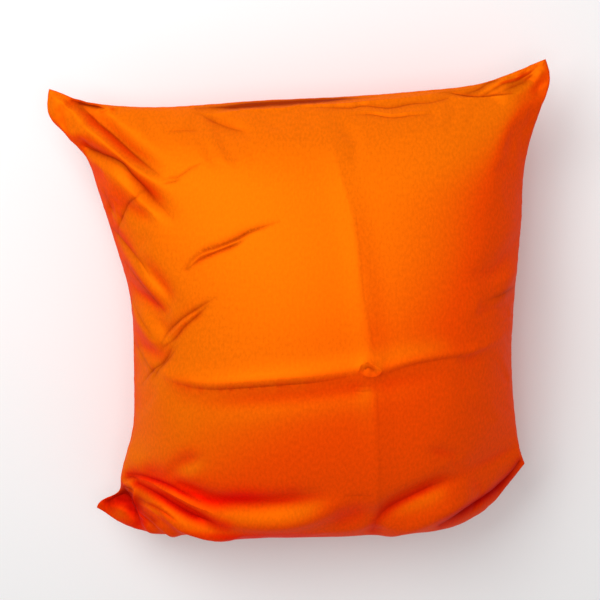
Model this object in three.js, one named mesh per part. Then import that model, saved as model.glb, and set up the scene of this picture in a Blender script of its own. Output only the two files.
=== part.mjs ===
// A square satin scatter cushion lying on its back: two square panels sewn together all round over a soft
// filling. The drawn-in sides leave four slack corners, and the cloth keeps its main folds.
// Millimetres, +X to the cushion's right, +Y to its top edge, +Z up out of its face, floor at z = 0.
import * as THREE from "three";

const { clamp, lerp, smoothstep } = THREE.MathUtils;

// Driving dimensions
const CROWN = 84; // the face stands this far above the seam in the middle
const BELLY = 100; // the back would hang this far below the seam if no floor held it up
const SETTLING = 9; // how gently the back rolls up from where it rests
const SEAM_THICKNESS = 2.4; // two cloths and their turned-in edges
const FACE_STEPS = 64; // mesh steps along each side of the face; the back has half as many
const EDGE_CROWDING = 0.8; // 0 spaces the steps evenly, 1 crowds them at the seam

// The four corners of the seam
const CORNERS = {
  topLeft: { x: -233, y: 205, z: 86 },
  topRight: { x: 187, y: 230, z: 88 },
  bottomLeft: { x: -206, y: -177, z: 60 },
  bottomRight: { x: 182, y: -131, z: 73 },
};

// How the seam runs between its corners: at is the share of the straight line between them, drawn is how far
// the seam is drawn in from that line, and z is its height.
const SEAM = {
  left: [
    { at: 0.02, drawn: 5, z: 62 },
    { at: 0.044, drawn: 25, z: 66 },
    { at: 0.075, drawn: 26, z: 70 },
    { at: 0.137, drawn: 34, z: 75 },
    { at: 0.2, drawn: 43, z: 78 },
    { at: 0.34, drawn: 49, z: 80 },
    { at: 0.51, drawn: 52, z: 80 },
    { at: 0.64, drawn: 43, z: 80 },
    { at: 0.77, drawn: 32, z: 81 },
    { at: 0.83, drawn: 27, z: 83 },
    { at: 0.888, drawn: 11, z: 85 },
    { at: 0.942, drawn: -3, z: 86 },
  ],
  right: [
    { at: 0.032, drawn: 5, z: 76 },
    { at: 0.12, drawn: 12, z: 80 },
    { at: 0.29, drawn: 18, z: 80 },
    { at: 0.45, drawn: 17, z: 80 },
    { at: 0.61, drawn: 14, z: 80 },
    { at: 0.72, drawn: 14, z: 81 },
    { at: 0.8, drawn: 10, z: 83 },
    { at: 0.877, drawn: 2, z: 85 },
    { at: 0.949, drawn: -5, z: 87 },
  ],
  top: [
    { at: 0.027, drawn: 5, z: 86 },
    { at: 0.062, drawn: 12, z: 86 },
    { at: 0.121, drawn: 18, z: 84 },
    { at: 0.22, drawn: 23, z: 81 },
    { at: 0.42, drawn: 23, z: 80 },
    { at: 0.6, drawn: 24, z: 80 },
    { at: 0.72, drawn: 23, z: 82 },
    { at: 0.862, drawn: 19, z: 86 },
    { at: 0.927, drawn: 11, z: 88 },
  ],
  bottom: [
    { at: 0.056, drawn: -16, z: 62 },
    { at: 0.111, drawn: -24, z: 65 },
    { at: 0.23, drawn: -26, z: 68 },
    { at: 0.34, drawn: -33, z: 69 },
    { at: 0.465, drawn: -38, z: 70 },
    { at: 0.7, drawn: -46, z: 71 },
    { at: 0.818, drawn: -47, z: 72 },
    { at: 0.891, drawn: -38, z: 72 },
    { at: 0.941, drawn: -24, z: 72 },
  ],
};

// How full the cushion is between its seams
const FULLNESS_POWER = 0.62; // 0.5 stands the sides upright at the seam, 1 slopes them
const FLATNESS = { across: 2.3, along: 1.9 }; // 2 is a round crown, more is a flatter one
const SAG = 0.86; // below 1 the filling has sunk towards the bottom edge
const EARS = [
  { corner: CORNERS.topLeft, reach: 75, thinned: 0.8 },
  { corner: CORNERS.topRight, reach: 60, thinned: 0.8 },
  { corner: CORNERS.bottomLeft, reach: 45, thinned: 0.7 },
  { corner: CORNERS.bottomRight, reach: 40, thinned: 0.7 },
];

// The patch of the back that lies level on the floor, a square about its middle x, y: reach is the share it
// takes of the way from the middle to the seam, and drawn the share of its half width by which its sides are
// drawn in.
const REST = { x: -3, y: 1, halfWidth: 82, halfHeight: 84, reach: 0.48, drawn: 0.03 };
const REST_RISE = 8; // past the patch the back rises at least this much on its way to the seam

// Where a panel bulges out past the seam, as a lip beside it: middle and spread are shares of that side.
const LIPS = [
  { panel: "face", side: "bottom", middle: 0.43, spread: 0.44, out: 10 },
  { panel: "back", side: "bottom", middle: 0.86, spread: 0.14, out: 9 },
  { panel: "back", side: "right", middle: 0.04, spread: 0.1, out: 6 },
  { panel: "back", side: "top", middle: 0.55, spread: 0.35, out: 9 },
];
const LIP_AT = 0.045; // the lip is fullest this share of the panel in from the seam

// The main folds of the face. Each runs through its places, in millimetres. rise is its height, below zero
// for a trough; width is how far it spreads to either side; starts and ends are the shares of the rise that
// are left at its two ends.
const FOLDS = [
  // The slack of the top left corner, drawn into one long roll with a trough on either side
  {
    places: [[-224, 192], [-196, 170], [-163, 142], [-132, 115]],
    rise: 9, width: 12, starts: 0.5, ends: 0,
  },
  {
    places: [[-207, 192], [-181, 169], [-152, 146], [-130, 133]],
    rise: -11, width: 6, starts: 0.7, ends: 0.1,
  },
  {
    places: [[-203, 155], [-175, 143], [-150, 122], [-120, 94]],
    rise: -8, width: 5.5, starts: 1, ends: 0,
  },
  { places: [[-189, 143], [-165, 124], [-138, 103]], rise: 4, width: 11, starts: 0.5, ends: 0 },
  // Pulls that fan out of the drawn-in left seam
  { places: [[-182, 95], [-160, 64], [-134, 36], [-118, 14]], rise: -7, width: 7, starts: 0.4, ends: 0 },
  { places: [[-176, 84], [-160, 58], [-143, 34], [-130, 18]], rise: 5, width: 7, starts: 0.4, ends: 0 },
  { places: [[-167, 40], [-148, 17], [-137, 6], [-122, -11]], rise: -6, width: 8, starts: 0.4, ends: 0 },
  { places: [[-166, 21], [-148, -2], [-134, -16]], rise: 5, width: 7, starts: 0.4, ends: 0 },
  { places: [[-165, -6], [-148, -22], [-130, -36]], rise: -4, width: 7, starts: 0.3, ends: 0 },
  // The crease across the face where the cover lay folded, a ridge with a trough under it
  {
    places: [[-160, -14], [-122, -37], [-47, -33], [40, -21], [118, -9], [162, 0]],
    rise: 4, width: 8, starts: 0.4, ends: 0.3,
  },
  {
    places: [[-130, -52], [-91, -52], [-47, -46], [40, -34], [118, -22]],
    rise: -2, width: 9, starts: 0, ends: 0,
  },
  // The crease down the face
  {
    places: [[-2, 186], [14, 133], [27, 77], [38, -13], [45, -83], [48, -184]],
    rise: 2, width: 8, starts: 0.4, ends: 0.6,
  },
  // The slack that lies in a roll along the bottom edge, with the hollow above it
  {
    places: [[-150, -130], [-119, -141], [-92, -151], [-53, -152], [-20, -145], [14, -132]],
    rise: -11, width: 10, starts: 0.3, ends: 0,
  },
  {
    places: [[-100, -162], [-60, -164], [-28, -162], [0, -151], [31, -134]],
    rise: 7, width: 9, starts: 0.3, ends: 0,
  },
  { places: [[2, -176], [24, -162], [46, -147]], rise: -4, width: 10, starts: 0.2, ends: 0 },
  {
    places: [[45, -180], [50, -160], [72, -143], [110, -127], [142, -123]],
    rise: -9, width: 8, starts: 0.4, ends: 0,
  },
  { places: [[60, -186], [85, -167], [112, -154], [142, -146]], rise: 6, width: 8, starts: 0.5, ends: 0 },
  // Pleats that fan out of the pinched bottom left corner, and its pocket
  {
    places: [[-176, -138], [-150, -133], [-125, -138], [-100, -148]],
    rise: -4, width: 5, starts: 0.3, ends: 0,
  },
  {
    places: [[-164, -137], [-139, -140], [-118, -149], [-96, -161]],
    rise: 5, width: 4.5, starts: 0.5, ends: 0.4,
  },
  {
    places: [[-167, -143], [-145, -148], [-118, -163], [-84, -179]],
    rise: -9, width: 6, starts: 0.6, ends: 0,
  },
  {
    places: [[-169, -149], [-143, -159], [-120, -174], [-90, -184], [-58, -186]],
    rise: 8, width: 6, starts: 0.6, ends: 0.2,
  },
  { places: [[-164, -157], [-143, -164], [-128, -176]], rise: -4, width: 4.5, starts: 0.4, ends: 0 },
  { places: [[-166, -162], [-150, -168], [-132, -186]], rise: 7, width: 5, starts: 0.3, ends: 0.8 },
  {
    places: [[-169, -151], [-167, -164], [-160, -179], [-154, -188]],
    rise: 7, width: 4.5, starts: 0.5, ends: 0.7,
  },
  {
    places: [[-196, -171], [-180, -166], [-169, -172], [-163, -187]],
    rise: -7, width: 6, starts: 0.3, ends: 0.5,
  },
  // A dip below the top seam, and two pulls at the right seam
  { places: [[-105, 187], [-79, 174], [-50, 165]], rise: -5, width: 7, starts: 0.6, ends: 0 },
  { places: [[140, 22], [152, 34], [166, 52]], rise: 3, width: 6, starts: 0, ends: 0.6 },
  { places: [[136, 42], [150, 56], [166, 74]], rise: -3, width: 7, starts: 0, ends: 0.6 },
];
const FOLD_PIECES = 24; // straight pieces in a fold's line
const FADE = 0.35; // share of its length over which a fold rises and dies away
const SEAM_MARGIN = 0.02; // folds start this share of the width in from the seam
const DEEPEST = 0.6; // a trough takes at most this share of what the face stands above the seam

function cornerPoint({ x, y, z }) {
  return new THREE.Vector3(x, y, z);
}

// A smooth seam from one corner to another, drawn in towards the cushion's middle by its table.
function seamCurve(from, to, rows) {
  const start = cornerPoint(from);
  const end = cornerPoint(to);
  const chord = new THREE.Vector2(end.x - start.x, end.y - start.y);
  const toMiddle = new THREE.Vector2(-(start.x + end.x), -(start.y + end.y));
  const inward = new THREE.Vector2(-chord.y, chord.x).normalize();
  if (inward.dot(toMiddle) < 0) inward.negate();
  const points = rows.map(({ at, drawn, z }) => {
    const x = start.x + chord.x * at + inward.x * drawn;
    const y = start.y + chord.y * at + inward.y * drawn;
    return new THREE.Vector3(x, y, z);
  });
  return new THREE.CatmullRomCurve3([start, ...points, end], false, "centripetal");
}

const seams = {
  left: seamCurve(CORNERS.bottomLeft, CORNERS.topLeft, SEAM.left),
  right: seamCurve(CORNERS.bottomRight, CORNERS.topRight, SEAM.right),
  top: seamCurve(CORNERS.topLeft, CORNERS.topRight, SEAM.top),
  bottom: seamCurve(CORNERS.bottomLeft, CORNERS.bottomRight, SEAM.bottom),
};

// The level sheet that the four seams span (a Coons patch): u runs left to right, v bottom to top.
function seamSheet(u, v) {
  const across = seams.bottom.getPointAt(u).lerp(seams.top.getPointAt(u), v);
  const along = seams.left.getPointAt(v).lerp(seams.right.getPointAt(v), u);
  const low = cornerPoint(CORNERS.bottomLeft).lerp(cornerPoint(CORNERS.bottomRight), u);
  const high = cornerPoint(CORNERS.topLeft).lerp(cornerPoint(CORNERS.topRight), u);
  return across.add(along).sub(low.lerp(high, v));
}

// 0 on the seam, 1 where the cushion is thickest, and little more than the bare cloths in the ears.
function fullness(u, v, place) {
  const across = 1 - Math.abs(2 * u - 1) ** FLATNESS.across;
  const along = 1 - Math.abs(2 * v ** SAG - 1) ** FLATNESS.along;
  let full = (across * along) ** FULLNESS_POWER;
  for (const { corner, reach, thinned } of EARS) {
    const away = Math.hypot(place.x - corner.x, place.y - corner.y) / reach;
    full *= 1 - thinned * Math.exp(-(away ** 2));
  }
  return full;
}

// For each side: how far in from it a place is, how far along it, and which way is out.
const SIDES = {
  left: (u, v) => ({ inFrom: u, along: v, out: [-1, 0] }),
  right: (u, v) => ({ inFrom: 1 - u, along: v, out: [1, 0] }),
  bottom: (u, v) => ({ inFrom: v, along: u, out: [0, -1] }),
  top: (u, v) => ({ inFrom: 1 - v, along: u, out: [0, 1] }),
};

// Moves a place on one panel outwards by the lips of that panel; the seam itself and its corners stay.
function addLips(panel, place, u, v) {
  for (const lip of LIPS.filter((row) => row.panel === panel)) {
    const { inFrom, along, out } = SIDES[lip.side](u, v);
    const swollen = (inFrom / LIP_AT) * Math.exp(1 - inFrom / LIP_AT);
    const beside = Math.exp(-(((along - lip.middle) / lip.spread) ** 4)) * Math.sin(Math.PI * along) ** 0.5;
    place.x += out[0] * lip.out * swollen * beside;
    place.y += out[1] * lip.out * swollen * beside;
  }
  return place;
}

// Each fold's line bends smoothly through its places.
const foldLines = FOLDS.map(({ places, ...fold }) => {
  const curve = new THREE.SplineCurve(places.map(([x, y]) => new THREE.Vector2(x, y)));
  return { ...fold, line: curve.getSpacedPoints(FOLD_PIECES) };
});

// How near a place is to a line, and at which share of the line.
function nearest(line, x, y) {
  let best = { away: Infinity, share: 0 };
  for (let k = 0; k < line.length - 1; k += 1) {
    const [a, b] = [line[k], line[k + 1]];
    const [dx, dy] = [b.x - a.x, b.y - a.y];
    const t = clamp(((x - a.x) * dx + (y - a.y) * dy) / (dx * dx + dy * dy), 0, 1);
    const away = Math.hypot(x - a.x - dx * t, y - a.y - dy * t);
    if (away < best.away) best = { away, share: (k + t) / (line.length - 1) };
  }
  return best;
}

// Height that the folds add at a place on the face.
function relief(x, y) {
  let height = 0;
  for (const { line, rise, width, starts, ends } of foldLines) {
    const { away, share } = nearest(line, x, y);
    const grown = lerp(starts, 1, smoothstep(share, 0, FADE));
    const leftOver = lerp(ends, 1, smoothstep(1 - share, 0, FADE));
    height += rise * grown * leftOver * Math.exp(-((away / width) ** 2));
  }
  return height;
}

function smoothFace(u, v) {
  const place = seamSheet(u, v);
  const full = fullness(u, v, place);
  place.z += SEAM_THICKNESS / 2 + CROWN * full;
  return addLips("face", place, u, v);
}

// The smooth face, raised and lowered along its normal by the folds.
function facePoint(u, v) {
  const place = smoothFace(u, v);
  const inFromSeam = Math.min(u, 1 - u, v, 1 - v);
  if (inFromSeam <= 0) return place;
  const step = Math.min(inFromSeam, 0.002);
  const rightwards = smoothFace(u + step, v).sub(smoothFace(u - step, v));
  const upwards = smoothFace(u, v + step).sub(smoothFace(u, v - step));
  const normal = rightwards.cross(upwards).normalize();
  const height = relief(place.x, place.y) * smoothstep(inFromSeam, 0, SEAM_MARGIN);
  const room = place.z - seamSheet(u, v).z;
  return place.addScaledVector(normal, Math.max(height, -DEEPEST * room));
}

// Cloth that would sink below the floor lies on it, and rolls off it gently.
function settle(z) {
  if (z <= 0) return 0;
  return z < 2 * SETTLING ? z ** 2 / (4 * SETTLING) : z - SETTLING;
}

function backPoint(u, v) {
  const place = seamSheet(u, v);
  const full = fullness(u, v, place);
  const [across, along] = [(2 * u - 1) / REST.reach, (2 * v - 1) / REST.reach]; // 1 at the patch's sides
  const past = ((Math.max(Math.abs(across), Math.abs(along)) - 1) * REST.reach) / (1 - REST.reach);
  const restX = REST.x + REST.halfWidth * across * (1 - REST.drawn * (1 - along ** 2));
  const restY = REST.y + REST.halfHeight * along * (1 - REST.drawn * (1 - across ** 2));
  const freed = smoothstep(past, 0, 1);
  place.x = lerp(restX, place.x, freed);
  place.y = lerp(restY, place.y, freed);
  const hangs = settle(place.z - SEAM_THICKNESS / 2 + SETTLING - (BELLY + SETTLING) * full);
  place.z = past <= 0 ? 0 : Math.max(hangs, REST_RISE * past);
  return addLips("back", place, u, v);
}

// Shares of a side at which the mesh has its lines, closer together near the seam.
function meshLines(steps) {
  const bend = (Math.PI / 2) * EDGE_CROWDING;
  return Array.from({ length: steps + 1 }, (_, i) => {
    const even = (2 * i) / steps - 1;
    return (1 + Math.sin(bend * even) / Math.sin(bend)) / 2;
  });
}

function cushionGeometry() {
  const lines = meshLines(FACE_STEPS);
  const positions = [];
  const triangles = [];

  // Adds a panel's points row by row, and returns what finds the number of the point in column i of row j.
  const addPanel = (steps, pointAt) => {
    const first = positions.length / 3;
    const stride = FACE_STEPS / steps;
    for (let j = 0; j <= steps; j += 1) {
      for (let i = 0; i <= steps; i += 1) {
        positions.push(...pointAt(lines[i * stride], lines[j * stride]));
      }
    }
    return (i, j) => first + j * (steps + 1) + i;
  };
  const half = FACE_STEPS / 2;
  const face = addPanel(FACE_STEPS, facePoint);
  const back = addPanel(half, backPoint);

  // Each square of the face is cut along the diagonal that lies closer to the cloth, so no fold is serrated.
  const pointNumber = (n) => new THREE.Vector3().fromArray(positions, 3 * n);
  for (let j = 0; j < FACE_STEPS; j += 1) {
    for (let i = 0; i < FACE_STEPS; i += 1) {
      const [a, b, c, d] = [face(i, j), face(i + 1, j), face(i + 1, j + 1), face(i, j + 1)];
      const cloth = facePoint((lines[i] + lines[i + 1]) / 2, (lines[j] + lines[j + 1]) / 2);
      const [gapAC, gapBD] = [[a, c], [b, d]].map(([from, to]) =>
        pointNumber(from).lerp(pointNumber(to), 0.5).distanceTo(cloth),
      );
      if (gapAC < gapBD) triangles.push(a, b, c, a, c, d);
      else triangles.push(a, b, d, b, c, d);
    }
  }
  for (let j = 0; j < half; j += 1) {
    for (let i = 0; i < half; i += 1) {
      triangles.push(back(i, j), back(i + 1, j + 1), back(i + 1, j));
      triangles.push(back(i, j), back(i, j + 1), back(i + 1, j + 1));
    }
  }

  // The seam's thickness joins the two panels: each step of the back meets two of the face.
  const joinSide = (faceAt, backAt) => {
    for (let k = 0; k < half; k += 1) {
      const [f0, f1, f2] = [faceAt(2 * k), faceAt(2 * k + 1), faceAt(2 * k + 2)];
      const [b0, b1] = [backAt(k), backAt(k + 1)];
      triangles.push(b0, f1, f0, b0, b1, f1, b1, f2, f1);
    }
  };
  joinSide((k) => face(k, 0), (k) => back(k, 0));
  joinSide((k) => face(FACE_STEPS, k), (k) => back(half, k));
  joinSide((k) => face(FACE_STEPS - k, FACE_STEPS), (k) => back(half - k, half));
  joinSide((k) => face(0, FACE_STEPS - k), (k) => back(0, half - k));

  const geometry = new THREE.BufferGeometry();
  geometry.setAttribute("position", new THREE.Float32BufferAttribute(positions, 3));
  geometry.setIndex(triangles);
  geometry.computeVertexNormals();
  return geometry;
}

const satin = new THREE.MeshStandardMaterial({ color: 0xff6a06, roughness: 0.42, metalness: 0 });

// The origin is on the floor under the middle of the cushion's box.
const geometry = cushionGeometry();
geometry.computeBoundingBox();
const { min, max } = geometry.boundingBox;
geometry.translate(-(min.x + max.x) / 2, -(min.y + max.y) / 2, -min.z);

const cushion = new THREE.Mesh(geometry, satin);
cushion.name = "cushion";

const model = new THREE.Group();
model.add(cushion);
export default model;
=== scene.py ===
import math
import typing

import bmesh
import bpy
import numpy as np
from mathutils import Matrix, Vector, kdtree


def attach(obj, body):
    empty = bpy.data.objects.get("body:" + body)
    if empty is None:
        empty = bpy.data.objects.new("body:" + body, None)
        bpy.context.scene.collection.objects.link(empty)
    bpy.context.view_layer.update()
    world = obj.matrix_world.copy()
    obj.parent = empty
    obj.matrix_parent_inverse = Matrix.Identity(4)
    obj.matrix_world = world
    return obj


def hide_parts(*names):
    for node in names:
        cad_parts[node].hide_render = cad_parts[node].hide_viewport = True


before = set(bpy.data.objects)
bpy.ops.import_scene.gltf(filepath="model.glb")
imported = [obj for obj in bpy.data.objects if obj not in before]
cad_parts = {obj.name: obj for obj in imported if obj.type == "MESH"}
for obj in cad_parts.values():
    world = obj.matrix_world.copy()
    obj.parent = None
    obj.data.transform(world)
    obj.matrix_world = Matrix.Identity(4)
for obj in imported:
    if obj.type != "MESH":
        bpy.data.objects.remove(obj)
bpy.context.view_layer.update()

bl_info = {
    "name": "Satin cushion",
    "version": (1, 0, 0),
    "blender": (4, 5, 0),
    "location": "View3D > Sidebar > Cushion",
    "description": "A square satin scatter cushion with its creases, seam and woven finish",
    "category": "Object",
}

MM = 0.001
NODE = "cushion"

# The seam's two sides stand this far apart in the frame's solid.
SEAM_THICKNESS = 2.4 * MM

# Painted shade and painted sheen that the finish lays over the cover's shape
THIN_DEPTH = 2.0 * MM  # a thin crease this deep gets the darkest painted shade
DEEP = 3 * MM  # a fold that lies this far below the cloth round it gets the reddest painted shade
LEVEL_SHARE = 0.55  # share of that painted shade where the cloth faces straight up
TURNED_SHARE = 1.2  # how fast that share of painted shade grows as the cloth turns to the bottom edge, away from the window
WINDOW = (-0.45, 0.62, 0.64)  # direction of the window, at the upper left, that the painted sheen faces
PAINTED_SHEEN_RANGE = (0.50, 0.80)  # the painted sheen grows from none to full between these cosines to the window

# How far a crease or a line of painted shade is followed to either side, in its own widths
CREASE_REACH = 4
SHADE_LINE_REACH = 3

# The gathers beside the seam are uneven: the numbers of each are drawn by chance between these.
SEED = 7
GATHER_SPACING = (8 * MM, 17 * MM)
GATHER_STRENGTH = (0.3, 1.0)
GATHER_WIDTH = (2.2 * MM, 4.0 * MM)
GATHER_LEAN = (-0.4, 0.4)
GATHER_START = 2 * MM  # how far from the stitches they begin

# Places in metres of what lights the cushion, and the width of the floor, whose edge no view reaches
KEY_PLACE = (-0.46, 0.62, 1.15)
OVERHEAD_PLACE = (0.05, 0.25, 1.6)
FLOOR_WIDTH = 8

# How the photo was taken: from above the face, leaning a little to the cushion's top edge.
PHOTO_PIXELS = 600
PHOTO_MIDDLE = Vector((1.644, 2.558, 80)) * MM  # what the camera looks at
PHOTO_DISTANCE = 1450 * MM
PHOTO_TILT = math.radians(12)
PHOTO_LENS = 100.0
SENSOR = 36.0
MM_PER_PIXEL = PHOTO_DISTANCE / MM * SENSOR / PHOTO_LENS / PHOTO_PIXELS


class Crease(typing.NamedTuple):
    """A line pressed into the face: it bends smoothly through its places."""

    rise: float  # its height in millimetres, below zero for a trough
    width: float  # how far it spreads to either side, in millimetres
    starts: float  # share of the rise that is left where it starts
    ends: float  # share of the rise that is left where it ends
    sharp: bool  # whether it comes to a sharp edge or is round
    places: tuple  # where it runs, in the photo's pixels across and down


def pinched(rise, width, starts, ends, *places):
    """A crease that comes to a sharp edge"""
    return Crease(rise, width, starts, ends, True, places)


def rounded(rise, width, starts, ends, *places):
    """A crease that is round"""
    return Crease(rise, width, starts, ends, False, places)


CREASES = [
    # Two slender pleats on the left of the face, each a bright strip between two dark lines
    pinched(
        -1.5, 1.3, 0.3, 0.2,
        (185, 271), (189, 263), (202, 252), (220, 246), (237, 239), (252, 231), (280, 222),
    ),
    pinched(-1.6, 1.4, 0.4, 0.1, (187, 270), (200, 260), (215, 253), (235, 245), (250, 236)),
    pinched(1.2, 1.6, 0.2, 0.1, (190, 266), (201, 256), (217, 250), (235, 242)),
    pinched(-1.5, 1.3, 0.3, 0.2, (161, 345), (165, 335), (180, 320), (195, 310), (215, 298)),
    pinched(-1.6, 1.4, 0.4, 0.1, (163, 348), (175, 338), (184, 327), (198, 315), (211, 303)),
    pinched(1.2, 1.6, 0.2, 0.1, (165, 343), (177, 330), (186, 321), (200, 310)),
    pinched(-1.2, 1.2, 0.3, 0.2, (142, 384), (152, 371), (165, 360), (175, 342)),
    pinched(-0.9, 1.2, 0.2, 0.2, (150, 384), (160, 368), (170, 357), (178, 345)),
    # Faint creases at the upper left, and a thin one that hooks down beside the left seam
    pinched(-0.6, 1.2, 0.2, 0.1, (160, 181), (168, 178), (177, 177), (190, 168), (205, 160)),
    pinched(-0.6, 1.2, 0.2, 0.1, (161, 184), (170, 182), (182, 179)),
    pinched(-1.2, 1.3, 0.3, 0.2, (118, 234), (119, 225), (127, 206), (134, 199), (145, 190)),
    pinched(-0.6, 1.4, 0.2, 0.1, (165, 131), (185, 130), (202, 131)),
    pinched(-1.0, 2.2, 0.5, 0.1, (200, 113), (208, 118), (228, 127), (250, 133)),
    # The crease across the face: a soft ridge with a crisp dark line under it, and its paler right half
    rounded(
        1.5, 3.2, 0.2, 0.4,
        (137, 352), (150, 365), (165, 374), (185, 381), (210, 384), (240, 382), (280, 379), (315, 376),
        (340, 373), (357, 370),
    ),
    pinched(
        -1.1, 1.6, 0.1, 0.3,
        (165, 379), (185, 386), (210, 390), (240, 389), (280, 386), (315, 383), (345, 378),
    ),
    rounded(1.7, 3.0, 0.7, 0.2, (380, 371), (407, 362), (440, 355), (470, 351), (495, 341), (512, 330)),
    pinched(-0.45, 1.8, 0.3, 0.1, (385, 375), (410, 366), (440, 360), (470, 356)),
    # The crease down the face, a faint step that darkens below the knot
    rounded(
        0.3, 2.6, 0.5, 0.6,
        (318, 98), (324, 120), (334, 150), (342, 180), (352, 215), (357, 250), (360, 292), (367, 325),
        (371, 353),
    ),
    pinched(-0.1, 1.8, 0.3, 0.8, (356, 215), (361, 250), (364, 292), (371, 325), (374, 355)),
    rounded(0.4, 2.8, 0.6, 0.6, (371, 382), (374, 400), (376, 440), (377, 480), (376, 532)),
    pinched(-0.22, 2.2, 0.6, 0.8, (376, 382), (378, 400), (380, 440), (381, 480), (380, 532)),
    # The knot where the two creases cross: a small ring of cloth round a dimple, with two short lines
    # under it
    pinched(
        1.1, 1.6, 0.8, 0.5,
        (359, 371), (361, 365), (368, 362), (374, 366), (381, 370), (376, 376), (366, 376), (359, 371),
    ),
    pinched(-1.3, 1.8, 0.8, 0.8, (364, 370), (369, 368), (374, 371)),
    pinched(-0.35, 1.2, 0.2, 0.2, (352, 386), (362, 387), (372, 386)),
    pinched(-0.3, 1.2, 0.2, 0.2, (350, 391), (361, 392), (372, 391)),
    # The strip of the back that shows behind the top seam, and the lip of the face in front of it
    pinched(
        -4.0, 2.2, 0.2, 0.1,
        (196, 108), (215, 107), (232, 106), (250, 104), (280, 102), (310, 100), (340, 98), (374, 97),
    ),
    pinched(
        1.5, 1.3, 0.2, 0.5,
        (198, 112), (212, 114), (230, 112), (250, 110), (280, 109), (300, 106), (318, 105), (345, 104),
        (365, 102), (400, 99), (430, 95),
    ),
    pinched(
        -1.3, 1.3, 0.2, 0.6,
        (300, 108), (320, 107), (350, 107), (365, 105), (390, 107), (412, 103), (430, 102), (448, 98),
    ),
    pinched(-1.0, 1.3, 0.2, 0.3, (350, 115), (370, 114), (392, 117), (412, 115), (430, 114)),
    pinched(0.7, 1.3, 0.2, 0.2, (352, 112), (370, 111), (392, 114), (412, 112), (430, 111), (442, 110)),
    pinched(-1.8, 1.5, 0.3, 0.5, (440, 93), (448, 92), (462, 94), (480, 96), (500, 94), (512, 93)),
    pinched(0.9, 1.3, 0.3, 0.3, (448, 98), (470, 98), (500, 96), (520, 94)),
    # Creases that run into the top right corner
    pinched(-1.4, 1.9, 0.6, 0.2, (468, 92), (478, 89), (490, 82), (505, 79)),
    pinched(-1.2, 1.6, 0.4, 0.2, (484, 95), (500, 85), (515, 81), (528, 75), (537, 67)),
    pinched(1.0, 1.5, 0.3, 0.2, (482, 92), (500, 82), (516, 78), (530, 70)),
    pinched(-1.1, 2.6, 0.4, 0.2, (500, 92), (515, 86), (527, 80), (536, 72)),
    rounded(-3, 8, 0.1, 0.3, (532, 112), (524, 128), (516, 145), (508, 165)),
    rounded(1.5, 4, 0.4, 0.2, (543, 68), (536, 80), (524, 90)),
    # The upper left corner: the dark gap behind its roll, and the thin dark lines along the roll
    pinched(-2.4, 1.9, 0.5, 0.2, (73, 101), (83, 104), (96, 107), (108, 109)),
    pinched(-1.5, 2.4, 0.5, 0.1, (80, 104), (97, 120), (115, 135), (140, 158), (166, 180)),
    pinched(-2.0, 1.9, 0.9, 0.1, (86, 147), (100, 154), (120, 163), (132, 176), (150, 194), (172, 219)),
    pinched(1.2, 1.6, 0.3, 0.2, (98, 113), (106, 110), (116, 108)),
    rounded(1.0, 3.5, 0.4, 0.1, (103, 158), (120, 170), (138, 188)),
    # Pulls along the left seam
    pinched(-0.8, 1.6, 0.4, 0.1, (103, 188), (108, 202), (115, 217)),
    pinched(-1.0, 1.5, 0.5, 0.1, (110, 225), (122, 240), (140, 262), (152, 281)),
    pinched(-0.9, 1.5, 0.5, 0.1, (125, 262), (140, 283), (156, 302), (172, 322)),
    pinched(-0.8, 1.5, 0.5, 0.1, (132, 300), (142, 322), (156, 342)),
    pinched(-0.7, 1.5, 0.5, 0.1, (134, 340), (146, 362), (158, 378)),
    # Pulls at the right seam
    rounded(0.9, 3.0, 0.2, 0.4, (492, 287), (503, 281), (515, 272)),
    pinched(-1.0, 2.0, 0.2, 0.5, (488, 300), (502, 295), (516, 286)),
    rounded(-0.9, 3.0, 0.2, 0.4, (470, 318), (492, 310), (514, 306)),
    pinched(0.8, 2.0, 0.2, 0.5, (500, 322), (512, 314)),
    # The roll and hollows along the bottom edge
    pinched(-1.3, 2.8, 0.4, 0.1, (373, 530), (378, 518), (390, 507), (407, 498), (432, 486), (455, 478)),
    pinched(-0.4, 1.4, 0.2, 0.2, (340, 497), (360, 496), (378, 497)),
    pinched(-3.0, 2.2, 0.4, 0.5, (440, 526), (460, 515), (478, 503), (495, 491), (510, 476), (520, 462)),
    # Pleats, edges and knots of the pinched bottom left corner
    pinched(1.6, 1.3, 0.4, 0.3, (138, 478), (150, 482), (163, 489), (178, 497), (195, 506), (212, 513)),
    pinched(-1.6, 1.6, 0.5, 0.1, (128, 474), (142, 476), (158, 481), (172, 487), (190, 496), (208, 508)),
    pinched(
        -2.2, 2.2, 0.6, 0.1,
        (137, 483), (150, 490), (165, 499), (180, 508), (195, 516), (212, 523), (224, 527),
    ),
    pinched(-1.0, 1.6, 0.4, 0.1, (138, 499), (150, 505), (160, 510), (172, 518), (181, 526)),
    pinched(0.9, 1.4, 0.3, 0.0, (138, 504), (150, 509), (160, 517), (171, 526)),
    pinched(-1.0, 1.6, 0.4, 0.0, (141, 511), (150, 518), (160, 526)),
    pinched(1.8, 1.4, 0.5, 0.1, (134, 490), (133, 501), (137, 511), (143, 518), (149, 525)),
    pinched(-4.0, 5.0, 0.5, 0.3, (108, 502), (118, 496), (127, 498), (134, 508), (139, 520)),
    pinched(-1.2, 1.2, 0.6, 0.6, (126, 478), (131, 477), (137, 479)),
    pinched(-1.2, 1.1, 0.6, 0.6, (124, 487), (129, 488), (133, 491)),
    pinched(1.1, 1.1, 0.6, 0.6, (124, 484), (129, 483), (133, 487)),
    pinched(-1.2, 1.1, 0.6, 0.6, (126, 493), (130, 495)),
]
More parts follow.
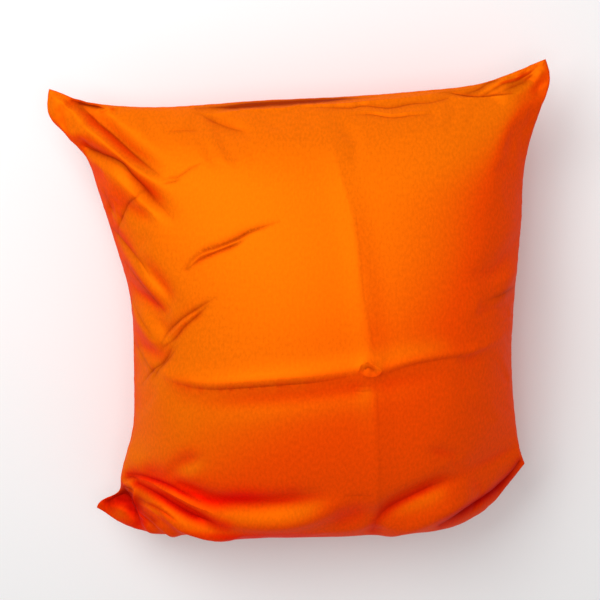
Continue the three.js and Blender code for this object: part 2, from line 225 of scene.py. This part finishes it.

# Painted shade: lines where light only reaches the satin from the folds round it, painted a deeper red.
# Here the rise is how much of that painted shade there is, from 0 to 1.
PAINTED_SHADE_LINES = [
    # The hollow above the bottom roll, and the valleys between the pleats of the bottom left corner
    rounded(1, 9, 0.6, 0.4, (150, 477), (185, 490), (212, 500), (240, 498), (268, 498), (292, 495)),
    rounded(
        1, 6, 0.9, 0.6,
        (137, 483), (150, 490), (165, 499), (180, 508), (195, 516), (212, 523), (226, 527),
    ),
    rounded(1, 5, 0.8, 0.6, (128, 475), (158, 481), (190, 496), (208, 506)),
    rounded(1, 12, 0.9, 0.9, (108, 503), (122, 500), (131, 506), (139, 521)),
    rounded(0.6, 3, 0.5, 0.4, (138, 499), (160, 510), (181, 526)),
    rounded(0.6, 3, 0.5, 0.4, (141, 511), (160, 526)),
    # The trough and the seam's groove at the bottom right
    rounded(0.8, 5, 0.6, 0.1, (373, 530), (378, 518), (390, 507), (407, 498), (432, 486), (455, 478)),
    rounded(1, 4, 0.6, 0.6, (440, 526), (460, 515), (478, 503), (495, 491), (510, 476), (520, 462)),
    rounded(0.4, 9, 0.3, 0.3, (328, 522), (350, 515), (370, 508)),
    # The shaded rim under the bottom roll
    rounded(0.8, 4, 0.2, 0.2, (170, 532), (200, 536), (240, 538), (290, 538), (350, 537)),
]


def linear(hex_colour):
    """The linear colour with alpha of an sRGB hex value."""
    channels = [((hex_colour >> shift) & 255) / 255 for shift in (16, 8, 0)]
    return tuple(c / 12.92 if c <= 0.04045 else ((c + 0.055) / 1.055) ** 2.4 for c in channels) + (1.0,)


class CushionSettings(bpy.types.PropertyGroup):
    slack: bpy.props.FloatProperty(
        name="Slack",
        description="How much larger the cloth is than the shape that it is filled to",
        default=0.01,
        subtype="FACTOR",
    )
    pressure: bpy.props.FloatProperty(
        name="Pressure",
        description="How hard the filling presses on the cloth",
        default=4.0,
    )
    steps: bpy.props.IntProperty(
        name="Steps",
        description="Steps for which the filled cloth settles",
        default=20,
    )
    most_movement: bpy.props.FloatProperty(
        name="Most movement",
        description="How far settling may move a point of the cloth",
        default=2.2 * MM,
        unit="LENGTH",
    )
    seam_groove: bpy.props.FloatProperty(
        name="Seam groove",
        description="How deep the stitching draws the seam in",
        default=1.2 * MM,
        unit="LENGTH",
    )
    gather_height: bpy.props.FloatProperty(
        name="Gather height",
        description="Height of the small gathers beside the seam",
        default=0.5 * MM,
        unit="LENGTH",
    )
    gather_reach: bpy.props.FloatProperty(
        name="Gather reach",
        description="How far the small gathers run in from the seam",
        default=14 * MM,
        unit="LENGTH",
    )


class SatinSettings(bpy.types.PropertyGroup):
    cloth: bpy.props.FloatVectorProperty(
        name="Cloth",
        description="Colour of the satin",
        default=linear(0xF54902),
        size=4,
        subtype="COLOR",
    )
    # Painted sheen: a lighter, yellower copy of the cloth's colour, laid where the cloth faces the window.
    painted_lit_cloth: bpy.props.FloatVectorProperty(
        name="Lit cloth",
        description="Colour of the satin where it faces the window",
        default=linear(0xF06C04),
        size=4,
        subtype="COLOR",
    )
    # Painted shade: the deeper red laid deep in folds, where light only comes from the folds round them.
    painted_fold_shade: bpy.props.FloatVectorProperty(
        name="Hollow",
        description="Colour of the satin deep in a fold",
        default=linear(0xFA1400),
        size=4,
        subtype="COLOR",
    )
    # Painted shade laid at the bottom of thin creases.
    crease: bpy.props.FloatVectorProperty(
        name="Crease",
        description="Colour of the satin at the bottom of a thin crease",
        default=linear(0xA03002),
        size=4,
        subtype="COLOR",
    )
    # Painted shade laid at the bottom of thin creases that lie deep in a fold.
    deep_crease_shade: bpy.props.FloatVectorProperty(
        name="Deep crease",
        description="Colour of the satin at the bottom of a thin crease that lies deep in a fold",
        default=linear(0xB80A02),
        size=4,
        subtype="COLOR",
    )
    sheen: bpy.props.FloatVectorProperty(
        name="Sheen",
        description="Colour of the light that the satin's threads send back",
        default=linear(0xFF8A28),
        size=4,
        subtype="COLOR",
    )
    roughness: bpy.props.FloatProperty(
        name="Roughness",
        description="How soft the satin's sheen is",
        default=0.5,
        subtype="FACTOR",
    )
    thread: bpy.props.FloatProperty(
        name="Thread",
        description="Spacing at which the threads are drawn",
        default=1.2 * MM,
        unit="LENGTH",
    )


class StageSettings(bpy.types.PropertyGroup):
    floor: bpy.props.FloatVectorProperty(
        name="Floor",
        description="Colour of the floor",
        default=linear(0xFAFAFA),
        size=4,
        subtype="COLOR",
    )
    key_power: bpy.props.FloatProperty(
        name="Key light",
        description="Power of the soft light at the upper left",
        default=10.5,
        unit="POWER",
    )
    key_size: bpy.props.FloatProperty(
        name="Key size",
        description="Width of the soft light at the upper left",
        default=0.8,
        unit="LENGTH",
    )
    overhead_power: bpy.props.FloatProperty(
        name="Overhead light",
        description="Power of the soft light above the cushion",
        default=3.5,
        unit="POWER",
    )
    overhead_size: bpy.props.FloatProperty(
        name="Overhead size",
        description="Width of the soft light above the cushion",
        default=0.6,
        unit="LENGTH",
    )
    surroundings: bpy.props.FloatProperty(
        name="Surroundings",
        description="Brightness of the pale room all round",
        default=0.46,
    )
    tilt: bpy.props.FloatProperty(
        name="Camera tilt",
        description="How far the camera leans from straight above towards the cushion's top edge",
        default=PHOTO_TILT,
        subtype="ANGLE",
    )
    distance: bpy.props.FloatProperty(
        name="Camera distance",
        description="From the camera to the middle of the cushion's seam",
        default=PHOTO_DISTANCE,
        unit="LENGTH",
    )
    lens: bpy.props.FloatProperty(
        name="Lens",
        description="Focal length of the camera in millimetres",
        default=PHOTO_LENS,
    )


def select_only(thing):
    bpy.ops.object.select_all(action="DESELECT")
    thing.select_set(True)
    bpy.context.view_layer.objects.active = thing


def in_edit_mode(thing, *steps):
    """Runs the steps on the whole of a mesh in edit mode."""
    select_only(thing)
    bpy.ops.object.mode_set(mode="EDIT")
    bpy.ops.mesh.select_all(action="SELECT")
    for step in steps:
        step()
    bpy.ops.object.mode_set(mode="OBJECT")


def vectors(collection, name):
    """One three-part property of all of a mesh's points or faces, as rows of numbers."""
    flat = np.empty(3 * len(collection), dtype=np.float32)
    collection.foreach_get(name, flat)
    return flat.reshape(-1, 3).astype(np.float64)


def place_points(mesh, points):
    mesh.vertices.foreach_set("co", points.astype(np.float32).ravel())
    mesh.update()


def values(mesh, name):
    """The numbers that a mesh keeps for its points under a name."""
    flat = np.empty(len(mesh.vertices), dtype=np.float32)
    mesh.attributes[name].data.foreach_get("value", flat)
    return flat.astype(np.float64)


def keep_values(mesh, name, numbers):
    attribute = mesh.attributes.get(name) or mesh.attributes.new(name, "FLOAT", "POINT")
    attribute.data.foreach_set("value", numbers.astype(np.float32))


def neighbours(mesh):
    """The numbers of the two points that each edge joins."""
    pairs = np.empty(2 * len(mesh.edges), dtype=np.int32)
    mesh.edges.foreach_get("vertices", pairs)
    return pairs.reshape(-1, 2)


def spread_out(numbers, pairs, times):
    """Averages each point's numbers with its neighbours', so many times."""
    ends = np.concatenate([pairs[:, 0], pairs[:, 1]])
    others = np.concatenate([pairs[:, 1], pairs[:, 0]])
    count = np.bincount(ends, minlength=len(numbers))

    def averaged(column):
        around = np.bincount(ends, weights=column[others], minlength=len(column)) / count
        return (column + around) / 2

    columns = numbers.reshape(len(numbers), -1).astype(np.float64)
    for _ in range(times):
        columns = np.stack([averaged(column) for column in columns.T], axis=1)
    return columns.reshape(numbers.shape)


def eased(t):
    """Turns a steady rise from 0 to 1 into one that starts and ends gently."""
    return t * t * (3 - 2 * t)


def copy_of_solid(name):
    """A copy of the frame's solid as an object of its own at the origin, its loose triangles merged."""
    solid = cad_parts[NODE]
    mesh = solid.data.copy()
    mesh.transform(solid.matrix_world)
    mesh.materials.clear()
    cover = bpy.data.objects.new(name, mesh)
    bpy.context.scene.collection.objects.link(cover)
    in_edit_mode(cover, lambda: bpy.ops.mesh.remove_doubles(threshold=0.01 * MM))
    return cover


def mark_panels(cover):
    """Marks the face panel's edge as the seam, and notes which points are the face's and the seam's."""
    mesh = bmesh.new()
    mesh.from_mesh(cover.data)
    mesh.faces.ensure_lookup_table()
    most_lean = 0.02 * MM
    most_error = 0.2 * MM

    def stands_in_seam(edge):
        gap = edge.verts[0].co - edge.verts[1].co
        return gap.xy.length < most_lean and abs(abs(gap.z) - SEAM_THICKNESS) < most_error

    seam_faces = {face for edge in mesh.edges if stands_in_seam(edge) for face in edge.link_faces}
    waiting = [max(mesh.faces, key=lambda face: face.calc_center_median().z)]
    panel = set(waiting)
    while waiting:
        for edge in waiting.pop().edges:
            for face in edge.link_faces:
                if face not in panel and face not in seam_faces:
                    panel.add(face)
                    waiting.append(face)
    for face in mesh.faces:
        face.smooth = True
        face.material_index = 0
    for edge in mesh.edges:
        edge.seam = [face in panel for face in edge.link_faces].count(True) == 1
    on_face = mesh.verts.layers.float.new("on_face")
    on_seam = mesh.verts.layers.float.new("on_seam")
    for point in mesh.verts:
        point[on_face] = float(any(face in panel for face in point.link_faces))
        point[on_seam] = float(any(face in seam_faces for face in point.link_faces))
    mesh.to_mesh(cover.data)
    mesh.free()


def join_into_quads(cover):
    """Joins the triangles in pairs at any angle, though not across the seam."""
    in_edit_mode(
        cover,
        lambda: bpy.ops.mesh.tris_convert_to_quads(
            face_threshold=math.pi,
            shape_threshold=math.pi,
            seam=True,
        ),
    )


def flat_area(corners):
    """Area of a flat face, from rows that hold its corners."""
    across, up = corners.T
    return abs(np.dot(across, np.roll(up, -1)) - np.dot(up, np.roll(across, -1))) / 2


def lay_out_cloth(cover):
    """Unwraps both panels, and turns and sizes each so that its UV map is the flat cloth, in metres."""
    in_edit_mode(cover, lambda: bpy.ops.uv.unwrap(method="ANGLE_BASED", margin=0.01))
    mesh = bmesh.new()
    mesh.from_mesh(cover.data)
    layer = mesh.loops.layers.uv.active
    on_face = mesh.verts.layers.float["on_face"]
    panels = {True: [], False: []}
    for face in mesh.faces:
        panels[all(point[on_face] > 0.5 for point in face.verts)].append(face)
    for faces in panels.values():
        loops = [loop for face in faces for loop in face.loops]
        flat = np.array([loop[layer].uv[:] for loop in loops])
        real = np.array([loop.vert.co.xy[:] for loop in loops])
        outlines = [np.array([loop[layer].uv[:] for loop in face.loops]) for face in faces]
        unwrapped_area = sum(flat_area(outline) for outline in outlines)
        size = math.sqrt(sum(face.calc_area() for face in faces) / unwrapped_area)
        flat -= flat.mean(axis=0)
        real -= real.mean(axis=0)
        turn, _, back = np.linalg.svd(flat.T @ real)
        flat = size * flat @ turn @ back
        for loop, place in zip(loops, flat):
            loop[layer].uv = place
    mesh.to_mesh(cover.data)
    mesh.free()


def refine(cover):
    """Halves the mesh's steps and rounds it."""
    modifier = cover.modifiers.new("Refine", "SUBSURF")
    modifier.levels = modifier.render_levels = 1
    select_only(cover)
    bpy.ops.object.modifier_apply(modifier=modifier.name)


def settle_filled(cover, settings):
    """Lets the filled cloth settle: the filling presses it out, and its slack puckers along the seam."""
    mesh = cover.data
    before = vectors(mesh.vertices, "co")
    on_floor = before[:, 2] < 0.5 * MM
    fixed = (values(mesh, "on_seam") > 0.5) | on_floor
    held = cover.vertex_groups.new(name="held")
    held.add([int(n) for n in np.flatnonzero(fixed)], 1.0, "REPLACE")
    modifier = cover.modifiers.new("Cloth", "CLOTH")
    cloth = modifier.settings
    cloth.quality = 6
    cloth.mass = 0.15
    cloth.tension_stiffness = cloth.compression_stiffness = 15
    cloth.shear_stiffness = 5
    cloth.bending_stiffness = 0.5
    cloth.use_pressure = True
    cloth.uniform_pressure_force = settings.pressure
    cloth.shrink_min = -settings.slack
    cloth.vertex_group_mass = held.name
    cloth.effector_weights.gravity = 0
    modifier.collision_settings.use_collision = False
    modifier.point_cache.frame_start = 1
    modifier.point_cache.frame_end = settings.steps
    scene = bpy.context.scene
    for step in range(1, settings.steps + 1):
        scene.frame_set(step)
    select_only(cover)
    bpy.ops.object.modifier_apply(modifier=modifier.name)
    scene.frame_set(1)
    cover.vertex_groups.clear()
    moved = vectors(mesh.vertices, "co") - before
    moved[fixed] = 0
    size = np.linalg.norm(moved, axis=1, keepdims=True)
    not_moved = size == 0
    size[not_moved] = settings.most_movement
    after = before + moved * np.minimum(1, settings.most_movement / size)
    after[:, 2] = np.maximum(after[:, 2], 0)
    place_points(mesh, after)


def in_photo(points):
    """Where the camera of the photo sees each point, in pixels across and down."""
    back = np.array([0, math.sin(PHOTO_TILT), math.cos(PHOTO_TILT)])
    up = np.array([0, math.cos(PHOTO_TILT), -math.sin(PHOTO_TILT)])
    offset = points - (np.array(PHOTO_MIDDLE) + PHOTO_DISTANCE * back)
    scale = PHOTO_PIXELS * PHOTO_LENS / SENSOR / (offset @ back)
    return PHOTO_PIXELS / 2 + np.stack([-offset[:, 0] * scale, (offset @ up) * scale], axis=1)


def smooth_line(places, spacing=1.5):
    """Points along the curve that bends smoothly through the places, this many pixels apart."""
    known = np.array(places, dtype=float)
    known = np.vstack([2 * known[0] - known[1], known, 2 * known[-1] - known[-2]])
    pieces = []
    for a, b, c, d in zip(known, known[1:], known[2:], known[3:]):
        steps = max(2, int(np.linalg.norm(c - b) / spacing))
        t = np.linspace(0, 1, steps, endpoint=False)[:, None]
        bend = (2 * a - 5 * b + 4 * c - d) * t**2 + (3 * b - a - 3 * c + d) * t**3
        pieces.append(b + ((c - a) * t + bend) / 2)
    return np.vstack(pieces + [known[-2:-1]])


def beside(line, places):
    """For each place, how far it lies from the line, and at which share of its length."""
    starts, steps = line[:-1], np.diff(line, axis=0)
    lengths = np.linalg.norm(steps, axis=1)
    run = np.concatenate([[0], np.cumsum(lengths)])
    best = np.full(len(places), np.inf)
    share = np.zeros(len(places))
    for start, step, length, gone in zip(starts, steps, lengths, run):
        offset = places - start
        t = np.clip(offset @ step / length**2, 0, 1)
        away = np.linalg.norm(offset - t[:, None] * step, axis=1)
        nearer = away < best
        best[nearer] = away[nearer]
        share[nearer] = (gone + t * length)[nearer] / run[-1]
    return best, share


def near_line(points, line, reach):
    """Numbers of the points near the line, how far each is from it, and at which share of its length."""
    low, high = line.min(axis=0) - reach, line.max(axis=0) + reach
    near = np.flatnonzero(np.all((points > low) & (points < high), axis=1))
    away, share = beside(line, points[near])
    return near, away, share


def fade_in(share, left_over, length=0.35):
    """Grows from what is left over at an end of a crease to 1 over the first part of its length."""
    return left_over + (1 - left_over) * eased(np.clip(share / length, 0, 1))


def near_crease(seen, crease, reach):
    """Numbers of the points within this many widths of a crease, and each one's share of it."""
    width = crease.width / MM_PER_PIXEL
    near, away, share = near_line(seen, smooth_line(crease.places), reach * width)
    profile = np.exp(-away / width) if crease.sharp else np.exp(-((away / width) ** 2))
    return near, profile * fade_in(share, crease.starts) * fade_in(1 - share, crease.ends)


def press_creases(cover, creases):
    """Raises and lowers the face along its own slope, and notes where thin creases are deep, for the
    painted shade at their bottoms.
    """
    mesh = cover.data
    points = vectors(mesh.vertices, "co")
    outwards = vectors(mesh.vertex_normals, "vector")
    seen = in_photo(points)
    heights = {True: np.zeros(len(points)), False: np.zeros(len(points))}
    for crease in creases:
        near, share = near_crease(seen, crease, CREASE_REACH)
        heights[crease.sharp][near] += crease.rise * MM * share
    on_face = values(mesh, "on_face")
    height = sum(heights.values()) * on_face * (1 - values(mesh, "on_seam"))
    place_points(mesh, points + outwards * height[:, None])
    # Painted shade: how dark the finish paints the bottom of each thin crease.
    keep_values(mesh, "crease", np.clip(-heights[True] / THIN_DEPTH, 0, 1) * on_face)


def refine_near(cover, creases, reach):
    """Halves the steps of the face's mesh within this many millimetres of creases too thin for it."""
    mesh = cover.data
    seen = in_photo(vectors(mesh.vertices, "co"))
    close = np.zeros(len(seen), dtype=bool)
    for crease in creases:
        near, away, _ = near_line(seen, smooth_line(crease.places), reach / MM_PER_PIXEL)
        close[near] |= away < reach / MM_PER_PIXEL
    close &= values(mesh, "on_face") > 0.5
    select_only(cover)
    bpy.ops.object.mode_set(mode="EDIT")
    bpy.ops.mesh.select_mode(type="VERT")
    bpy.ops.mesh.select_all(action="DESELECT")
    bpy.ops.object.mode_set(mode="OBJECT")
    mesh.vertices.foreach_set("select", close)
    mesh.edges.foreach_set("select", close[neighbours(mesh)].all(axis=1))
    bpy.ops.object.mode_set(mode="EDIT")
    bpy.ops.mesh.subdivide(number_cuts=1, smoothness=0, quadcorner="INNERVERT")
    bpy.ops.object.mode_set(mode="OBJECT")


def seam_line(mesh):
    """The points of the seam in order round the cushion, with how far along the seam each is."""
    points = vectors(mesh.vertices, "co")
    edges = np.array([edge.vertices[:] for edge in mesh.edges if edge.use_seam])
    beyond = {}
    for a, b in edges:
        beyond.setdefault(a, []).append(b)
        beyond.setdefault(b, []).append(a)
    order = [edges[0][0]]
    before = None
    while True:
        step = [n for n in beyond[order[-1]] if n != before][0]
        if step == order[0]:
            break
        before = order[-1]
        order.append(step)
    ring = points[order]
    gone = np.concatenate([[0], np.cumsum(np.linalg.norm(np.diff(ring, axis=0), axis=1))])
    return ring, gone


def uneven_gathers(length):
    """Place along a seam of this length, strength, width and lean of each gather."""
    chance = np.random.default_rng(SEED)
    gathers = []
    place = 0.0
    while place < length:
        place += chance.uniform(*GATHER_SPACING)
        strength = chance.uniform(*GATHER_STRENGTH)
        width = chance.uniform(*GATHER_WIDTH)
        lean = chance.uniform(*GATHER_LEAN)
        gathers.append((place, strength, width, lean))
    return gathers


def gather_seam(cover, settings):
    """Draws the seam in along its stitches, and gathers the cloth beside it into uneven puckers."""
    mesh = cover.data
    points = vectors(mesh.vertices, "co")
    outwards = vectors(mesh.vertex_normals, "vector")
    ring, gone = seam_line(mesh)
    length = gone[-1]
    tree = kdtree.KDTree(len(ring))
    for number, place in enumerate(ring):
        tree.insert(place, number)
    tree.balance()
    found = [tree.find(place) for place in points]
    along = gone[[number for _, number, _ in found]]
    away = np.array([distance for _, _, distance in found])
    lift = np.zeros(len(points))
    near = away < 3 * settings.gather_reach
    for place, strength, width, lean in uneven_gathers(length):
        offset = along[near] - place - lean * away[near]
        # The seam closes on itself, so the way to the gather is the shorter one round.
        offset = (offset + length / 2) % length - length / 2
        lift[near] += strength * np.exp(-((offset / width) ** 2))
    begun = (away / GATHER_START) ** 2
    fade = begun / (1 + begun) * np.exp(-away / settings.gather_reach)
    drawn = values(mesh, "on_seam") * np.exp(-((away / SEAM_THICKNESS) ** 2))
    move = settings.gather_height * lift * fade - settings.seam_groove * drawn
    on_floor = points[:, 2] < 1 * MM
    move[on_floor] = 0
    after = points + outwards * move[:, None]
    after[:, 2] = np.maximum(after[:, 2], 0)
    place_points(mesh, after)


def note_painted_fold_shade(cover, shade_lines):
    """Notes for the finish how much painted shade each point gets, from 0 to 1: the deeper red where light
    reaches it only from the folds round it.
    """
    mesh = cover.data
    points = vectors(mesh.vertices, "co")
    outwards = vectors(mesh.vertex_normals, "vector")
    pairs = neighbours(mesh)
    cloth_round = spread_out(points, pairs, times=60)
    depth = ((cloth_round - points) * outwards).sum(axis=1)
    # More painted shade where the cloth turns down towards the bottom edge, away from the window.
    turned = np.clip(LEVEL_SHARE - TURNED_SHARE * outwards[:, 1], 0, 1)
    deep = np.clip(spread_out(depth * turned, pairs, times=4) / DEEP, 0, 1)
    seen = in_photo(points)
    for shade_line in shade_lines:
        near, share = near_crease(seen, shade_line, SHADE_LINE_REACH)
        deep[near] = np.maximum(deep[near], shade_line.rise * share)
    keep_values(mesh, "painted_fold_shade", deep * values(mesh, "on_face"))


def note_painted_sheen(cover):
    """Notes for the finish how much each point faces the window, where a painted sheen makes the satin
    yellower.
    """
    outwards = vectors(cover.data.vertex_normals, "vector")
    low, high = PAINTED_SHEEN_RANGE
    share = np.clip((outwards @ np.array(WINDOW) - low) / (high - low), 0, 1)
    share = spread_out(share, neighbours(cover.data), times=30)
    keep_values(cover.data, "sheen", eased(share))


def add(nodes, kind, settings=None, **links):
    """Adds a node with its settings, and gives each input its value or links it to the socket it is given.

    An input goes by its name, or by its number after an underscore.
    """
    node = nodes.new(kind)
    for name, value in (settings or {}).items():
        setattr(node, name, value)
    for name, value in links.items():
        by_number = name[1:].isdigit()
        socket = node.inputs[int(name[1:])] if by_number else node.inputs[name.replace("_", " ")]
        if isinstance(value, bpy.types.NodeSocket):
            node.id_data.links.new(value, socket)
        else:
            socket.default_value = value
    return node


def new_material(name):
    """A material that has no nodes yet, and where its nodes go."""
    material = bpy.data.materials.new(name)
    material.use_nodes = True
    material.node_tree.nodes.clear()
    return material, material.node_tree.nodes


def woven_satin(settings):
    """The cover's finish, whose patterns lie on the UV map of the flat cloth."""
    # Polyester satin: long loose warp threads lie side by side on top, so it is smooth, bright and softly
    # streaked.
    material, nodes = new_material("woven_satin")
    cloth = add(nodes, "ShaderNodeUVMap", {"uv_map": "UVMap"}).outputs["UV"]

    # For each pattern, the size of one patch of it across and up the cloth, how many finer ones are drawn
    # over it, and how strong they are
    patterns = (
        # Satin has a thread about every 0.1 mm, too fine to show, so they are drawn as coarse as the
        # settings say, and each 14 times as long as it is wide.
        (settings.thread, 14 * settings.thread, 2.0, 0.5),
        # Yarn is thicker and thinner in stretches of a few millimetres.
        (2.08 * MM, 3.85 * MM, 3.0, 0.55),
        # The weft under them shows as faint bands across the cloth.
        (40 * MM, 3.85 * MM, 2.0, 0.5),
    )
    drawn = []
    for across, up, finer, strength in patterns:
        laid = add(nodes, "ShaderNodeMapping", _0=cloth, _3=(1 / across, 1 / up, 1.0)).outputs[0]
        noise = add(nodes, "ShaderNodeTexNoise", Vector=laid, Scale=1.0, Detail=finer, Roughness=strength)
        drawn.append(noise.outputs[0])
    threads, yarn, weft = drawn
    painted_fold_shade, sheen, crease = (
        add(nodes, "ShaderNodeAttribute", {"attribute_name": name}).outputs["Fac"]
        for name in ("painted_fold_shade", "sheen", "crease")
    )

    mix = {"data_type": "RGBA"}
    # Painted light: the cloth turns yellower where it faces the window (painted sheen), and deeper red in
    # folds and dark at the bottom of thin creases (painted shade).
    cloth_with_painted_sheen = add(nodes, "ShaderNodeMix", mix, _0=sheen, _6=settings.cloth, _7=settings.painted_lit_cloth).outputs[2]
    shade = add(nodes, "ShaderNodeMix", mix, _0=painted_fold_shade, _6=cloth_with_painted_sheen, _7=settings.painted_fold_shade).outputs[2]
    dark = add(nodes, "ShaderNodeMix", mix, _0=painted_fold_shade, _6=settings.crease, _7=settings.deep_crease_shade)
    line = add(nodes, "ShaderNodeMix", mix, _0=crease, _6=shade, _7=dark.outputs[2]).outputs[2]
    usual = {"From_Min": 0.3, "From_Max": 0.7}  # a noise pattern seldom leaves this range
    uneven = add(nodes, "ShaderNodeMapRange", Value=yarn, **usual, To_Min=0.91, To_Max=1.09).outputs[0]
    colour = add(nodes, "ShaderNodeVectorMath", {"operation": "SCALE"}, _0=line, _3=uneven).outputs[0]
    rough = add(
        nodes,
        "ShaderNodeMapRange",
        Value=yarn,
        **usual,
        To_Min=settings.roughness - 0.03,
        To_Max=settings.roughness + 0.03,
    )

    multiply_add = {"operation": "MULTIPLY_ADD"}
    height = add(nodes, "ShaderNodeMath", multiply_add, _0=threads, _1=0.6, _2=weft).outputs[0]
    weave = add(nodes, "ShaderNodeBump", Strength=0.35, Distance=0.2 * MM, Height=height).outputs[0]
    # Part of the light that the threads send back takes on their colour, as on metal.
    surface = add(
        nodes,
        "ShaderNodeBsdfPrincipled",
        Base_Color=colour,
        Roughness=rough.outputs[0],
        Normal=weave,
        Metallic=0.24,
        Specular_Tint=settings.sheen,
        Specular_IOR_Level=0.03,
    )
    add(nodes, "ShaderNodeOutputMaterial", Surface=surface.outputs[0])
    return material


def matt_board(settings):
    """The floor's finish."""
    # Matt painted board: even and pale, with no gloss of its own.
    material, nodes = new_material("matt_board")
    surface = add(
        nodes,
        "ShaderNodeBsdfPrincipled",
        Base_Color=settings.floor,
        Roughness=0.9,
        Specular_IOR_Level=0.1,
    )
    add(nodes, "ShaderNodeOutputMaterial", Surface=surface.outputs[0])
    return material


def soft_light(name, place, size, power):
    """A square soft light that faces the middle of the cushion."""
    light = bpy.data.lights.new(name, "AREA")
    light.size = size
    light.energy = power
    lamp = bpy.data.objects.new(name, light)
    lamp.location = place
    lamp.rotation_euler = (PHOTO_MIDDLE - lamp.location).to_track_quat("-Z", "Y").to_euler()
    bpy.context.scene.collection.objects.link(lamp)


class CUSHION_OT_cover(bpy.types.Operator):
    """Make the satin cushion: its filled cover with creases, seam and woven finish"""

    bl_idname = "cushion.cover"
    bl_label = "Satin cushion"

    def execute(self, context):
        settings = context.scene.cushion
        cover = copy_of_solid("satin_cushion")
        mark_panels(cover)
        join_into_quads(cover)
        lay_out_cloth(cover)
        refine(cover)
        settle_filled(cover, settings)
        refine(cover)
        note_painted_fold_shade(cover, PAINTED_SHADE_LINES)
        sharp = [crease for crease in CREASES if crease.sharp]
        refine_near(cover, sharp, reach=2)
        refine_near(cover, sharp, reach=1)
        press_creases(cover, CREASES)
        gather_seam(cover, settings)
        note_painted_sheen(cover)
        cover.data.materials.append(woven_satin(context.scene.satin))
        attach(cover, "root")
        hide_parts(NODE)
        return {"FINISHED"}


class CUSHION_OT_stage(bpy.types.Operator):
    """Set the stage: a pale floor, a soft light at the upper left, a pale room and the camera"""

    bl_idname = "cushion.stage"
    bl_label = "Stage"

    def execute(self, context):
        settings = context.scene.cushion_stage
        bpy.ops.object.select_all(action="DESELECT")
        bpy.ops.mesh.primitive_plane_add(size=FLOOR_WIDTH, location=(0, 0, 0))
        floor = context.object
        floor.name = "floor"
        floor.data.materials.append(matt_board(settings))

        world = bpy.data.worlds.new("pale_room")
        world.use_nodes = True
        background = world.node_tree.nodes["Background"]
        background.inputs["Color"].default_value = linear(0xFFFFFF)
        background.inputs["Strength"].default_value = settings.surroundings
        context.scene.world = world
        context.scene.view_settings.view_transform = "Standard"

        soft_light("key_light", KEY_PLACE, settings.key_size, settings.key_power)
        soft_light("overhead_light", OVERHEAD_PLACE, settings.overhead_size, settings.overhead_power)

        camera_data = bpy.data.cameras.new("camera")
        camera_data.lens = settings.lens
        camera_data.sensor_width = SENSOR
        camera = bpy.data.objects.new("camera", camera_data)
        direction = Vector((0, math.sin(settings.tilt), math.cos(settings.tilt)))
        camera.location = PHOTO_MIDDLE + settings.distance * direction
        camera.rotation_euler = (-settings.tilt, 0, 0)
        context.scene.collection.objects.link(camera)
        context.scene.camera = camera
        return {"FINISHED"}


class CUSHION_PT_panel(bpy.types.Panel):
    bl_label = "Cushion"
    bl_idname = "CUSHION_PT_panel"
    bl_space_type = "VIEW_3D"
    bl_region_type = "UI"
    bl_category = "Cushion"

    def draw(self, context):
        groups = (
            ("cushion", CUSHION_OT_cover),
            ("satin", None),
            ("cushion_stage", CUSHION_OT_stage),
        )
        for name, operator in groups:
            settings = getattr(context.scene, name)
            box = self.layout.box()
            for prop in settings.bl_rna.properties:
                if prop.identifier not in {"rna_type", "name"}:
                    box.prop(settings, prop.identifier)
            if operator:
                box.operator(operator.bl_idname)


CLASSES = (
    CushionSettings,
    SatinSettings,
    StageSettings,
    CUSHION_OT_cover,
    CUSHION_OT_stage,
    CUSHION_PT_panel,
)


def register():
    for kind in CLASSES:
        bpy.utils.register_class(kind)
    bpy.types.Scene.cushion = bpy.props.PointerProperty(type=CushionSettings)
    bpy.types.Scene.satin = bpy.props.PointerProperty(type=SatinSettings)
    bpy.types.Scene.cushion_stage = bpy.props.PointerProperty(type=StageSettings)


def unregister():
    del bpy.types.Scene.cushion
    del bpy.types.Scene.satin
    del bpy.types.Scene.cushion_stage
    for kind in reversed(CLASSES):
        bpy.utils.unregister_class(kind)


def main():
    register()
    bpy.ops.cushion.stage()
    bpy.ops.cushion.cover()


if __name__ == "__main__":
    main()
